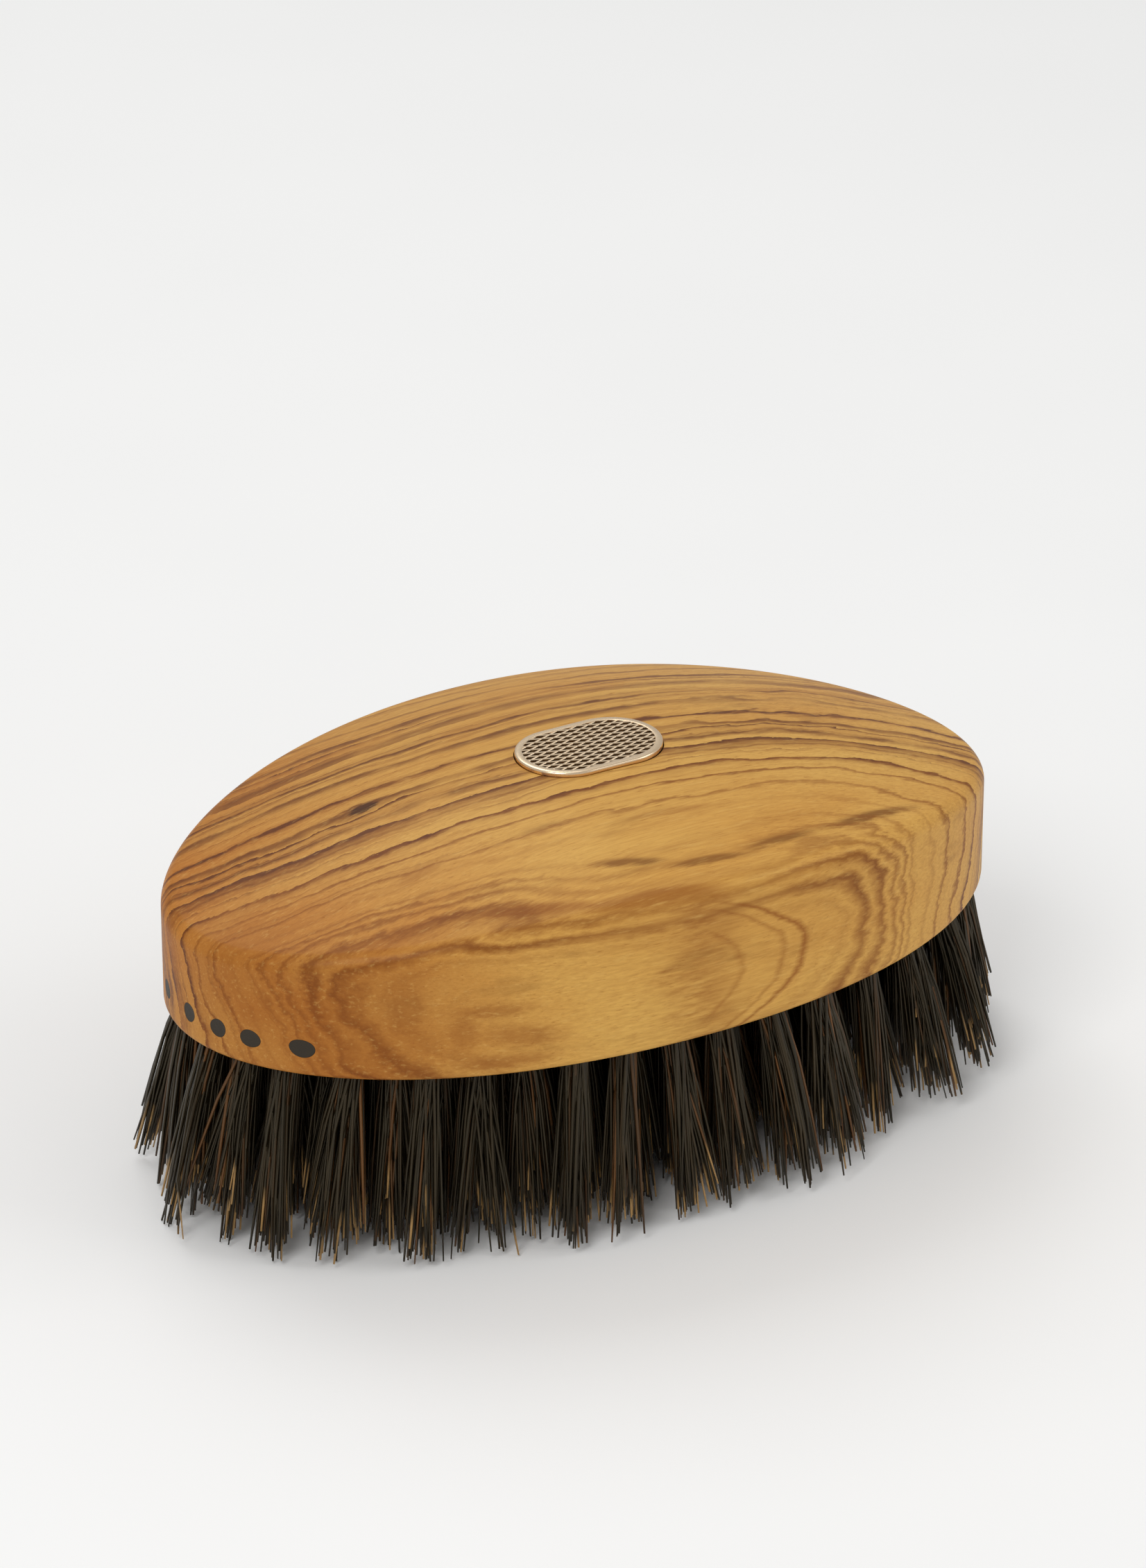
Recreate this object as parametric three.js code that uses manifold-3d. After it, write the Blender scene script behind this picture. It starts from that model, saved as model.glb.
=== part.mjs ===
// Oval palm brush for beards.
//
// The back is one piece of wood with a domed top, an upright side wall and a flat underside. Blind
// holes are drilled into the underside, and a lacing channel crosses each row of holes inside the
// wood. A draw wire runs along the channel and through the fold of every tuft in its row, so it
// holds the whole row. Black plugs close the channel mouths in the left end, and a small metal
// badge lies in a pocket in the top.
//
// Millimetres. +X is the length with the plugged end at -X, -Y is the front and +Z is up. The
// bristle tips stand on z = 0, centred under the brush.

import * as THREE from "three";
import { mergeVertices } from "three/addons/utils/BufferGeometryUtils.js";
import { LoftGeometry } from "three/addons/geometries/LoftGeometry.js";
import Module from "manifold-3d";

const wasm = await Module();
wasm.setup();

// ---- Driving dimensions ----

// Wooden back: a nearly elliptical outline, with heights measured from its underside.
const bodyHalfLength = 50;
const bodyHalfWidth = 29.4;
const outlineLengthPower = 2.1;
const outlineWidthPower = 2;
const centreHeight = 22.1;
const endHeight = 12.4;
const sideHeight = 17.9;
const rimRadius = 1.5;
const baseEdgeRadius = 0.7;

// Bristle field.
const bristleProjection = 22;
const endOverhang = 4.3; // how far the tips spread past the wood at each end
const sideOverhang = 2.6; // and at each side
const tuftPitch = 5.6;
const endTuftInset = 3.9; // wood's end to the fold of the last tuft
const outerRowInset = 5.4; // wood's side to the outermost row
const fieldSideMargin = 1.4; // outermost row to the edge of the oval that ends the rows
const holeDiameter = 3.4;
const tuftClearance = 0.3;
const rowClearance = 0.3; // between the tips of neighbouring rows
const tipOverlap = 0.4; // neighbouring tufts of one row run into each other at their tips
const foldCover = 0.9; // hair over the middle of the draw wire

// Lacing channels and draw wires.
const channelHeight = 3.4; // underside to channel axis
const channelDiameter = 2.1;
const wireDiameter = 0.4;
const wireClearance = 0.25;
const channelOverrun = 2.2; // past the fold of the last tuft

// Hand-drilled rows, front to back. The middle ones open in the left end and are plugged. Each
// value is how far that plugged channel wandered from an even spacing.
const sideRowsWithoutPlug = 2;
const drillWander = [-0.6, -0.6, -1.5, -1.6, -0.4, -0.1, 0.1];
const plugDiameter = 2.1;
const plugLength = 1.8;
const plugClearance = 0.25;

// Badge: a pierced metal grille on a black backing, bonded into a flat pocket.
const badgeCentreX = 1.1;
const badgeHalfStraight = 2.87;
const badgeEndRadius = 5.75;
const badgeProud = 0.35;
const grilleThickness = 0.7;
const backingThickness = 0.5;
const adhesiveThickness = 0.15;
const adhesiveMargin = 0.8;
const badgeClearance = 0.3;
const grilleBorder = 0.9;
const ribWidth = 0.45;
const ribPitch = 1.7;
const ribAngle = THREE.MathUtils.degToRad(20);

// How finely the round shapes are faceted.
const outlineSteps = 56;
const rimSteps = 3;
const baseEdgeSteps = 1;
const domeRings = [0.82, 0.6, 0.38, 0.19];
const plugSides = 8;
const badgeArcSteps = 9;
const wireSides = 6;
const overshoot = 1; // cutting shapes run this far past what they cut

// ---- Sizes that follow ----

const undersideZ = bristleProjection;
const foldZ = undersideZ + channelHeight;
const foldTopZ = foldZ + foldCover;
const holeTopZ = foldTopZ + tuftClearance;

const rowCount = drillWander.length + 2 * sideRowsWithoutPlug;
const outerRowOffset = bodyHalfWidth - outerRowInset;
const rowPitch = (2 * outerRowOffset) / (rowCount - 1);
const fieldHalfLength = bodyHalfLength - endTuftInset;
const fieldHalfWidth = outerRowOffset + fieldSideMargin;

// Each tuft leans outwards so that the tips fill an oval larger than the wood by the overhangs.
const lengthSpread = (bodyHalfLength + endOverhang - tipOverlap / 2) / (fieldHalfLength + tuftPitch / 2);
const widthSpread = (bodyHalfWidth + sideOverhang + rowClearance / 2) / (outerRowOffset + rowPitch / 2);

const flatShare = Math.cos(Math.PI / 6); // half width across a hexagon's flats, over its radius
const squareShare = Math.SQRT1_2; // the same for a square
const holeRadius = holeDiameter / 2;
const tuftMouthRadius = holeRadius - tuftClearance / flatShare;
const tunnelHalf = wireDiameter / 2 + wireClearance;

const badgeTopZ = undersideZ + domeHeight(badgeCentreX, 0) + badgeProud;
const backingTopZ = badgeTopZ - grilleThickness;
const adhesiveTopZ = backingTopZ - backingThickness;
const pocketFloorZ = adhesiveTopZ - adhesiveThickness;

// ---- Solids ----

// A closed three.js geometry as a solid that can be cut and joined.
function solidFrom(geometry) {
  const bare = new THREE.BufferGeometry();
  bare.setAttribute("position", geometry.getAttribute("position"));
  bare.setIndex(geometry.index);
  const merged = mergeVertices(bare, 1e-4);
  return new wasm.Manifold(
    new wasm.Mesh({
      numProp: 3,
      vertProperties: new Float32Array(merged.attributes.position.array),
      triVerts: new Uint32Array(merged.index.array),
    }),
  );
}

// A solid's surface as a three.js geometry.
function geometryFrom(solid) {
  const { vertProperties, triVerts } = solid.getMesh();
  const geometry = new THREE.BufferGeometry();
  geometry.setAttribute("position", new THREE.BufferAttribute(vertProperties, 3));
  geometry.setIndex(new THREE.BufferAttribute(triVerts, 1));
  geometry.computeVertexNormals();
  return geometry;
}

function joined(solids) {
  return wasm.Manifold.union(solids);
}

// A straight bar along X with a regular polygon for its section, one flat of it facing up.
function barAlongX(radius, sides, startX, endX, y, z) {
  const bar = new THREE.CylinderGeometry(radius, radius, endX - startX, sides, 1, false, Math.PI / sides);
  bar.rotateZ(Math.PI / 2);
  bar.translate((startX + endX) / 2, y, z);
  return solidFrom(bar);
}

// ---- Wooden back ----

// Height of the domed top over the underside.
function domeHeight(x, y) {
  const lengthwiseFall = (centreHeight - endHeight) * (x / bodyHalfLength) ** 2;
  const crosswiseFall = (centreHeight - sideHeight) * (y / bodyHalfWidth) ** 2;
  return centreHeight - lengthwiseFall - crosswiseFall;
}

// Half the length of the outline at a distance y from the long axis.
function outlineHalfLengthAt(y) {
  const widthTerm = (Math.abs(y) / bodyHalfWidth) ** outlineWidthPower;
  return bodyHalfLength * (1 - widthTerm) ** (1 / outlineLengthPower);
}

// A point of the outline, moved inwards along its normal.
function outlinePoint(turn, inset) {
  const across = Math.cos(turn);
  const up = Math.sin(turn);
  const x = bodyHalfLength * Math.sign(across) * Math.abs(across) ** (2 / outlineLengthPower);
  const y = bodyHalfWidth * Math.sign(up) * Math.abs(up) ** (2 / outlineWidthPower);
  const shareX = Math.abs(x) / bodyHalfLength;
  const shareY = Math.abs(y) / bodyHalfWidth;
  const slopeX = (outlineLengthPower / bodyHalfLength) * shareX ** (outlineLengthPower - 1);
  const slopeY = (outlineWidthPower / bodyHalfWidth) * shareY ** (outlineWidthPower - 1);
  const normal = new THREE.Vector2(Math.sign(x) * slopeX, Math.sign(y) * slopeY).normalize();
  return new THREE.Vector2(x, y).addScaledVector(normal, -inset);
}

// One closed ring of the outer surface. share shrinks the outline towards the centre.
function outlineRing(inset, share, heightAt) {
  const ring = [];
  for (let step = 0; step < outlineSteps; step++) {
    const point = outlinePoint((step / outlineSteps) * 2 * Math.PI, inset).multiplyScalar(share);
    ring.push(new THREE.Vector3(point.x, point.y, undersideZ + heightAt(point.x, point.y)));
  }
  return ring;
}

// The whole outer shape: underside, eased lower edge, upright wall, rounded rim and dome.
function bodyEnvelope() {
  const rings = [];
  for (let step = 0; step <= baseEdgeSteps; step++) {
    const angle = (step / baseEdgeSteps) * (Math.PI / 2);
    const inset = baseEdgeRadius * (1 - Math.sin(angle));
    rings.push(outlineRing(inset, 1, () => baseEdgeRadius * (1 - Math.cos(angle))));
  }
  for (let step = 0; step <= rimSteps; step++) {
    const angle = (step / rimSteps) * (Math.PI / 2);
    const inset = rimRadius * (1 - Math.cos(angle));
    const drop = rimRadius * (1 - Math.sin(angle));
    rings.push(outlineRing(inset, 1, (x, y) => domeHeight(x, y) - drop));
  }
  for (const share of domeRings) rings.push(outlineRing(0, share, domeHeight));
  return solidFrom(new LoftGeometry(rings, { capStart: true, capEnd: true }));
}

// ---- Rows of tufts ----

// Where every channel runs and where its tufts are folded over the wire.
function layOutRows() {
  const rows = [];
  for (let index = 0; index < rowCount; index++) {
    const pluggedIndex = index - sideRowsWithoutPlug;
    const plugged = pluggedIndex >= 0 && pluggedIndex < drillWander.length;
    const y = index * rowPitch - outerRowOffset + (plugged ? drillWander[pluggedIndex] : 0);
    const halfChord = fieldHalfLength * Math.sqrt(1 - (y / fieldHalfWidth) ** 2);
    const gaps = Math.floor((2 * halfChord) / tuftPitch);
    const pitch = (2 * halfChord) / gaps;
    const foldXs = Array.from({ length: gaps + 1 }, (_, i) => i * pitch - halfChord);
    rows.push({ y, plugged, pitch, foldXs });
  }
  for (const [index, row] of rows.entries()) {
    const neighbours = [rows[index - 1], rows[index + 1]].filter(Boolean);
    const gap = Math.min(...neighbours.map((other) => Math.abs(other.y - row.y)));
    row.tipFlatHalf = (row.pitch * lengthSpread + tipOverlap) / 2;
    row.tipCornerHalf = (gap * widthSpread - rowClearance) / 2;
  }
  return rows;
}

// Centre of a tuft at height z, on the straight line from its fold to its tip.
function tuftCentreAt(foldX, foldY, z) {
  const travelled = (foldZ - z) / foldZ;
  const x = foldX * (1 + (lengthSpread - 1) * travelled);
  const y = foldY * (1 + (widthSpread - 1) * travelled);
  return new THREE.Vector2(x, y);
}

// A level hexagon with two flats facing along X.
function hexagon(centre, z, flatHalf, cornerHalf) {
  const offsets = [
    [flatHalf, -cornerHalf / 2],
    [flatHalf, cornerHalf / 2],
    [0, cornerHalf],
    [-flatHalf, cornerHalf / 2],
    [-flatHalf, -cornerHalf / 2],
    [0, -cornerHalf],
  ];
  return offsets.map(([x, y]) => new THREE.Vector3(centre.x + x, centre.y + y, z));
}

// The drilled hole of one tuft, which leans as its tuft does and opens through the underside.
function tuftHole(foldX, row) {
  const sections = [undersideZ - overshoot, holeTopZ].map((z) =>
    hexagon(tuftCentreAt(foldX, row.y, z), z, holeRadius * flatShare, holeRadius),
  );
  return solidFrom(new LoftGeometry(sections, { capStart: true, capEnd: true }));
}

// One tuft, which widens evenly from its fold through the mouth of its hole to its tip.
function tuft(foldX, row) {
  const sections = [0, foldTopZ].map((z) => {
    const fromMouth = (undersideZ - z) / undersideZ;
    const flatHalf = THREE.MathUtils.lerp(tuftMouthRadius * flatShare, row.tipFlatHalf, fromMouth);
    const cornerHalf = THREE.MathUtils.lerp(tuftMouthRadius, row.tipCornerHalf, fromMouth);
    return hexagon(tuftCentreAt(foldX, row.y, z), z, flatHalf, cornerHalf);
  });
  return solidFrom(new LoftGeometry(sections, { capStart: true, capEnd: true }));
}

// All the tufts of a row, joined where their tips meet, with the tunnel that the wire runs through.
function bristleRow(row) {
  const first = row.foldXs[0] - row.pitch;
  const last = row.foldXs.at(-1) + row.pitch;
  const tunnel = barAlongX(tunnelHalf / squareShare, 4, first, last, row.y, foldZ);
  return joined(row.foldXs.map((foldX) => tuft(foldX, row))).subtract(tunnel);
}

// ---- Channels, wires and plugs ----

// Left end of a row's channel: inside the plug's bore, or just past the first tuft.
function channelStart(row) {
  return row.plugged ? plugSeatX(row) : row.foldXs[0] - channelOverrun;
}

function channelEnd(row) {
  return row.foldXs.at(-1) + channelOverrun;
}

function plugSeatX(row) {
  return plugLength - outlineHalfLengthAt(row.y);
}

function lacingChannel(row) {
  return barAlongX(channelDiameter / 2, 4, channelStart(row), channelEnd(row), row.y, foldZ);
}

// A round bar from the seat of a row's plug out past the left end of the brush.
function plugBar(row, radius) {
  return barAlongX(radius, plugSides, -bodyHalfLength - overshoot, plugSeatX(row), row.y, foldZ);
}

// A plug sits against the end of its bore and is trimmed flush with the wall.
function channelPlug(row, envelope) {
  return plugBar(row, plugDiameter / 2).intersect(envelope);
}

function drawWire(row) {
  const start = channelStart(row) + wireClearance;
  const end = channelEnd(row) - wireClearance;
  return barAlongX(wireDiameter / 2, wireSides, start, end, row.y, foldZ);
}

// ---- Badge ----

// An upright slab with straight sides and round ends.
function badgeSlab(endRadius, lowZ, highZ) {
  const outline = new THREE.Shape();
  outline.absarc(badgeHalfStraight, 0, endRadius, -Math.PI / 2, Math.PI / 2);
  outline.absarc(-badgeHalfStraight, 0, endRadius, Math.PI / 2, (3 * Math.PI) / 2);
  const slab = new THREE.ExtrudeGeometry(outline, {
    depth: highZ - lowZ,
    bevelEnabled: false,
    curveSegments: badgeArcSteps,
  });
  slab.translate(badgeCentreX, 0, lowZ);
  return solidFrom(slab);
}

// Straight ribs that cross the badge at plus and minus the rib angle from its length.
function grilleRibs() {
  const reach = badgeHalfStraight + badgeEndRadius;
  const ribsPerSide = Math.ceil(reach / ribPitch);
  const ribs = [];
  for (const side of [-1, 1]) {
    for (let number = -ribsPerSide; number <= ribsPerSide; number++) {
      const rib = new THREE.BoxGeometry(2 * (reach + badgeEndRadius), ribWidth, grilleThickness);
      rib.translate(0, number * ribPitch, badgeTopZ - grilleThickness / 2);
      rib.rotateZ(side * ribAngle);
      rib.translate(badgeCentreX, 0, 0);
      ribs.push(solidFrom(rib));
    }
  }
  return joined(ribs);
}

function badgeGrille() {
  const plate = badgeSlab(badgeEndRadius, backingTopZ, badgeTopZ);
  const window = badgeSlab(badgeEndRadius - grilleBorder, backingTopZ - overshoot, badgeTopZ + overshoot);
  return plate.subtract(window.subtract(grilleRibs()));
}

// ---- Assembly ----

const wood = new THREE.MeshStandardMaterial({ color: 0xb98a4c, roughness: 0.45 });
const blackFiller = new THREE.MeshStandardMaterial({ color: 0x2f2a22, roughness: 0.6 });
const bristle = new THREE.MeshStandardMaterial({ color: 0x2a2318, roughness: 0.7 });
const steelWire = new THREE.MeshStandardMaterial({ color: 0xb8b8b4, roughness: 0.35, metalness: 1 });
const roseGold = new THREE.MeshStandardMaterial({ color: 0xc9a27e, roughness: 0.3, metalness: 1 });
const blackEnamel = new THREE.MeshStandardMaterial({ color: 0x17130f, roughness: 0.35 });
const adhesive = new THREE.MeshStandardMaterial({ color: 0xcfc8b4, roughness: 0.8 });

const beardBrush = new THREE.Group();

function addPiece(name, solid, material) {
  const piece = new THREE.Mesh(geometryFrom(solid), material);
  piece.name = name;
  beardBrush.add(piece);
}

const rows = layOutRows();
const pluggedRows = rows.filter((row) => row.plugged);
const envelope = bodyEnvelope();
const cuts = [
  ...rows.flatMap((row) => row.foldXs.map((foldX) => tuftHole(foldX, row))),
  ...rows.map(lacingChannel),
  ...pluggedRows.map((row) => plugBar(row, plugDiameter / 2 + plugClearance)),
  badgeSlab(badgeEndRadius + badgeClearance, pocketFloorZ, badgeTopZ + overshoot),
];

addPiece("brush_body", envelope.subtract(joined(cuts)), wood);
addPiece("badge_adhesive", badgeSlab(badgeEndRadius - adhesiveMargin, pocketFloorZ, adhesiveTopZ), adhesive);
addPiece("badge_backing", badgeSlab(badgeEndRadius, adhesiveTopZ, backingTopZ), blackEnamel);
addPiece("badge_grille", badgeGrille(), roseGold);

for (const [index, row] of pluggedRows.entries()) {
  addPiece(`channel_plug_${index + 1}`, channelPlug(row, envelope), blackFiller);
}

for (const [index, row] of rows.entries()) {
  const number = String(index + 1).padStart(2, "0");
  addPiece(`draw_wire_${number}`, drawWire(row), steelWire);
  addPiece(`bristle_row_${number}`, bristleRow(row), bristle);
}

export default beardBrush;
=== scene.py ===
import math

import bpy
import numpy as np
from mathutils import Matrix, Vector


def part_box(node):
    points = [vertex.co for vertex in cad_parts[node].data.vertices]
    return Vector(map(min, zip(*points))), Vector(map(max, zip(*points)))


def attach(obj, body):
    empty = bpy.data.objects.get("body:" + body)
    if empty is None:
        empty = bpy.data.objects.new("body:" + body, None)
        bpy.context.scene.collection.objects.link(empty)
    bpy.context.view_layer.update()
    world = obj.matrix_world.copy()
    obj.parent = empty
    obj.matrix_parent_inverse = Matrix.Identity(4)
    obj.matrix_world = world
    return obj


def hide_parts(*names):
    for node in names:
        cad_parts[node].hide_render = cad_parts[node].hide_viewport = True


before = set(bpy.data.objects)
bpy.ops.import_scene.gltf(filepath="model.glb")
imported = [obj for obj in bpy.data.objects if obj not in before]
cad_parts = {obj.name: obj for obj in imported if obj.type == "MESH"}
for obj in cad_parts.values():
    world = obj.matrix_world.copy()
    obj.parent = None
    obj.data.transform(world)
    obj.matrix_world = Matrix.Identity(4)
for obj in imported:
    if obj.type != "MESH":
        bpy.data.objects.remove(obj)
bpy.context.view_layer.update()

mm = 0.001  # every size below is in millimetres
root = "root"
seed = 4187  # each row of hairs draws from this plus its number


def linear(hexColour):  # "c49751" as the linear colour that a socket takes
    parts = np.array([int(hexColour[i:i + 2], 16) for i in (0, 2, 4)]) / 255
    parts = np.where(parts <= 0.04045, parts / 12.92, ((parts + 0.055) / 1.055) ** 2.4)
    return (*parts.tolist(), 1.0)


class Signal:  # one socket of a node tree, used in arithmetic like a number
    def __init__(self, tree, socket=None):
        self.tree = tree
        self.socket = socket

    # adds a node: its settings first, then the values or links of its sockets
    def node(self, kind, settings=None, sockets=None, output=0):
        made = self.tree.nodes.new(kind)
        for setting, value in (settings or {}).items():
            if setting == "stops":
                fillRamp(made.color_ramp, value)
            else:
                setattr(made, setting, value)
        for place, value in (sockets or {}).items():
            if isinstance(value, Signal):
                self.tree.links.new(value.socket, made.inputs[place])
            else:
                made.inputs[place].default_value = value
        return Signal(self.tree, made.outputs[output]) if len(made.outputs) else None

    def maths(self, operation, first, second=0.0, clamp=False):
        return self.node("ShaderNodeMath", {"operation": operation, "use_clamp": clamp},
                         {0: first, 1: second})

    def __add__(self, other):
        return self.maths("ADD", self, other)

    def __sub__(self, other):
        return self.maths("SUBTRACT", self, other)

    def __rsub__(self, other):
        return self.maths("SUBTRACT", other, self)

    def __mul__(self, other):
        return self.maths("MULTIPLY", self, other)

    def __truediv__(self, other):
        return self.maths("DIVIDE", self, other)

    def __pow__(self, other):
        return self.maths("POWER", self, other)

    def __abs__(self):
        return self.maths("ABSOLUTE", self)

    __radd__ = __add__
    __rmul__ = __mul__

    def floor(self):
        return self.maths("FLOOR", self)

    def clamped(self):
        return self.maths("ADD", self, 0.0, clamp=True)

    def exp(self):
        return self.maths("EXPONENT", self)

    def fraction(self):
        return self.maths("FRACT", self)

    # rises smoothly from 0 at low to 1 at high; with low above high it falls
    def between(self, low, high):
        return self.node("ShaderNodeMapRange", {"interpolation_type": "SMOOTHSTEP"},
                         {"Value": self, "From Min": low, "From Max": high})

    def ramp(self, stops):
        return self.node("ShaderNodeValToRGB", {"stops": stops}, {"Fac": self})

    # a vector times one number for each axis, then moved
    def stretched(self, frequency, shift=(0, 0, 0)):
        return self.node("ShaderNodeVectorMath", {"operation": "MULTIPLY_ADD"},
                         {0: self, 1: frequency, 2: shift})

    # noise of a vector, about -1 to 1 round zero
    def noise(self, frequency, detail=2.0, roughness=0.5, shift=(0, 0, 0)):
        fac = self.node("ShaderNodeTexNoise", {"noise_dimensions": "3D"},
                        {"Vector": self.stretched(frequency, shift), "Scale": 1.0, "Detail": detail,
                         "Roughness": roughness})
        return fac * 2.0 - 1.0

    # noise of a single number, about -1 to 1 round zero
    def noiseAlong(self, frequency, detail=2.0, shift=0.0):
        fac = self.node("ShaderNodeTexNoise", {"noise_dimensions": "1D"},
                        {"W": self * frequency + shift, "Scale": 1.0, "Detail": detail})
        return fac * 2.0 - 1.0

    def random(self):  # a fixed random number from 0 to 1 for each whole number
        return self.node("ShaderNodeTexWhiteNoise", {"noise_dimensions": "1D"}, {"W": self})

    # one colour laid over another by a share
    def mixed(self, share, under, over):
        return self.node("ShaderNodeMix", {"data_type": "RGBA", "clamp_factor": True},
                         {0: share, 6: under, 7: over}, output=2)

    def bump(self, height, distance, strength):  # the distance is in millimetres
        return self.node("ShaderNodeBump", {},
                         {"Height": height, "Distance": distance * mm, "Strength": strength})


def fillRamp(ramp, stops):  # stops are (place, colour or grey)
    while len(ramp.elements) < len(stops):
        ramp.elements.new(0.5)
    for element, (place, value) in zip(ramp.elements, stops):
        element.position = place
        element.color = value if isinstance(value, tuple) else (value, value, value, 1.0)


def newMaterial(name):  # an empty tree, with its Object coordinates in millimetres
    material = bpy.data.materials.new(name)
    material.use_nodes = True
    material.node_tree.nodes.clear()
    start = Signal(material.node_tree)
    place = start.node("ShaderNodeTexCoord", output="Object")
    inMm = place.node("ShaderNodeVectorMath", {"operation": "SCALE"}, {0: place, "Scale": 1 / mm})
    return material, inMm


def finishMaterial(start, sockets):
    surface = start.node("ShaderNodeBsdfPrincipled", {}, sockets, output="BSDF")
    start.node("ShaderNodeOutputMaterial", {}, {"Surface": surface})


def splitAxes(vector):
    return [vector.node("ShaderNodeSeparateXYZ", {}, {0: vector}, output=axis) for axis in range(3)]


def meshFrom(name, points, faceSets):  # points in mm; each set holds faces of one number of sides
    corners = np.concatenate([faces.ravel() for faces in faceSets]).astype(np.int32)
    sides = np.concatenate([np.full(len(faces), faces.shape[1]) for faces in faceSets])
    starts = np.concatenate([[0], np.cumsum(sides)[:-1]]).astype(np.int32)
    mesh = bpy.data.meshes.new(name)
    mesh.vertices.add(len(points))
    mesh.vertices.foreach_set("co", (np.asarray(points, float) * mm).astype(np.float32).ravel())
    mesh.loops.add(len(corners))
    mesh.loops.foreach_set("vertex_index", corners)
    mesh.polygons.add(len(sides))
    mesh.polygons.foreach_set("loop_start", starts)
    mesh.update(calc_edges=True)
    mesh.validate()
    return mesh


def addObject(name, mesh):
    piece = bpy.data.objects.new(name, mesh)
    bpy.context.scene.collection.objects.link(piece)
    return piece


def placePiece(piece, material, nodes):  # everything a finished piece has to say
    piece.data.materials.clear()
    piece.data.materials.append(material)
    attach(piece, root)
    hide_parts(*nodes)


def smoothShading(mesh, sharpDegrees):
    mesh.polygons.foreach_set("use_smooth", np.ones(len(mesh.polygons), bool))
    mesh.set_sharp_from_angle(angle=math.radians(sharpDegrees))


# Quads between the rings of a grid of (rings x around) points, the round direction closed.
def ringQuads(rings, around, closedRings=False):
    lower = np.arange(rings if closedRings else rings - 1)[:, None] * around
    upper = (lower + around) % (rings * around)
    here = np.arange(around)[None, :]
    after = (here + 1) % around
    return np.stack([lower + here, lower + after, upper + after, upper + here], -1).reshape(-1, 4)


# The same closed grid for many copies at once, each a tube from its first ring to its last.
def manyTubes(rings):  # rings: copies x rings x around x 3, ends closed by one face each
    copies, count, around = rings.shape[:3]
    quads = ringQuads(count, around)
    ends = np.array([np.arange(around)[::-1], (count - 1) * around + np.arange(around)])
    offsets = (np.arange(copies) * count * around)[:, None, None]
    return rings.reshape(-1, 3), [(quads + offsets).reshape(-1, 4), (ends + offsets).reshape(-1, around)]


viewSettings = {
    "azimuth": -30.34, "elevation": 26.72, "distance": 718, "aimHeight": 32,
    "lens": 148.02, "sensor": 36, "shiftX": -0.0046, "shiftY": 0.0403,
    "nearest": 10, "farthest": 20000,
}


def addCamera(s):  # looks at a point over the middle of the brush from the azimuth and elevation
    azimuth, elevation = math.radians(s["azimuth"]), math.radians(s["elevation"])
    back = np.array([math.sin(azimuth) * math.cos(elevation),
                     -math.cos(azimuth) * math.cos(elevation), math.sin(elevation)])
    right = np.array([math.cos(azimuth), math.sin(azimuth), 0])
    up = np.cross(back, right)
    data = bpy.data.cameras.new("camera")
    data.lens, data.sensor_width, data.sensor_fit = s["lens"], s["sensor"], "AUTO"
    data.shift_x, data.shift_y = s["shiftX"], s["shiftY"]
    data.clip_start, data.clip_end = s["nearest"] * mm, s["farthest"] * mm
    camera = bpy.data.objects.new("camera", data)
    bpy.context.scene.collection.objects.link(camera)
    place = np.eye(4)
    place[:3, 0], place[:3, 1], place[:3, 2] = right, up, back
    place[:3, 3] = (np.array([0, 0, s["aimHeight"]]) + back * s["distance"]) * mm
    camera.matrix_world = Matrix(place.tolist())
    return camera


lightSettings = {
    "sky": 0.5, "aimHeight": 30,
    "key": {"place": (-420, -300, 560), "size": 340, "power": 1.7},
    "fill": {"place": (520, -360, 420), "size": 420, "power": 0.9},
    "back": {"place": (60, 460, 620), "size": 460, "power": 1.3},
    "floorReach": 3000, "floorColours": ("fbfbfa", "fdfdfc"), "floorRoughness": 0.9,
}


def addLight(name, s, aimHeight):  # a soft square lamp that faces the brush
    data = bpy.data.lights.new(name, "AREA")
    data.shape, data.size, data.energy = "SQUARE", s["size"] * mm, s["power"]
    lamp = bpy.data.objects.new(name, data)
    bpy.context.scene.collection.objects.link(lamp)
    away = np.array(s["place"], float)
    fromBrush = away - (0, 0, aimHeight)
    facing = fromBrush / np.linalg.norm(fromBrush)
    side = np.cross((0, 0, 1), facing)
    side /= np.linalg.norm(side)
    place = np.eye(4)
    place[:3, 0], place[:3, 1], place[:3, 2] = side, np.cross(facing, side), facing
    place[:3, 3] = away * mm
    lamp.matrix_world = Matrix(place.tolist())


def addStudio(s):
    world = bpy.data.worlds.new("studio")
    bpy.context.scene.world = world
    world.use_nodes = True
    sky = world.node_tree.nodes["Background"]
    sky.inputs["Color"].default_value = (1, 1, 1, 1)
    sky.inputs["Strength"].default_value = s["sky"]
    for name in ("key", "fill", "back"):
        addLight(name, s[name], s["aimHeight"])
    bpy.context.scene.view_settings.view_transform = "Standard"
    bpy.context.scene.view_settings.look = "None"
    reach = s["floorReach"]
    corners = np.array([(-reach, -reach, 0), (reach, -reach, 0), (reach, reach, 0), (-reach, reach, 0)])
    floor = addObject("floor", meshFrom("floor", corners, [np.array([[0, 1, 2, 3]])]))
    material, start = newMaterial("paleFloor")
    tint = start.noise((0.02, 0.02, 0.02), 1).between(-1, 1)
    colour = start.mixed(tint, *(linear(shade) for shade in s["floorColours"]))
    finishMaterial(start, {"Base Color": colour, "Roughness": s["floorRoughness"],
                           "Specular IOR Level": 0.1})
    floor.data.materials.append(material)


bpy.context.scene.camera = addCamera(viewSettings)
addStudio(lightSettings)
print("camera, light and floor done")


bodyLow, bodyHigh = (np.array(corner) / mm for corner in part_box("brush_body"))
undersideZ = bodyLow[2]
halfLength = (bodyHigh[0] - bodyLow[0]) / 2
halfWidth = (bodyHigh[1] - bodyLow[1]) / 2
channelZ = sum(corner[2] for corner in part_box("draw_wire_01")) / 2 / mm

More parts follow.
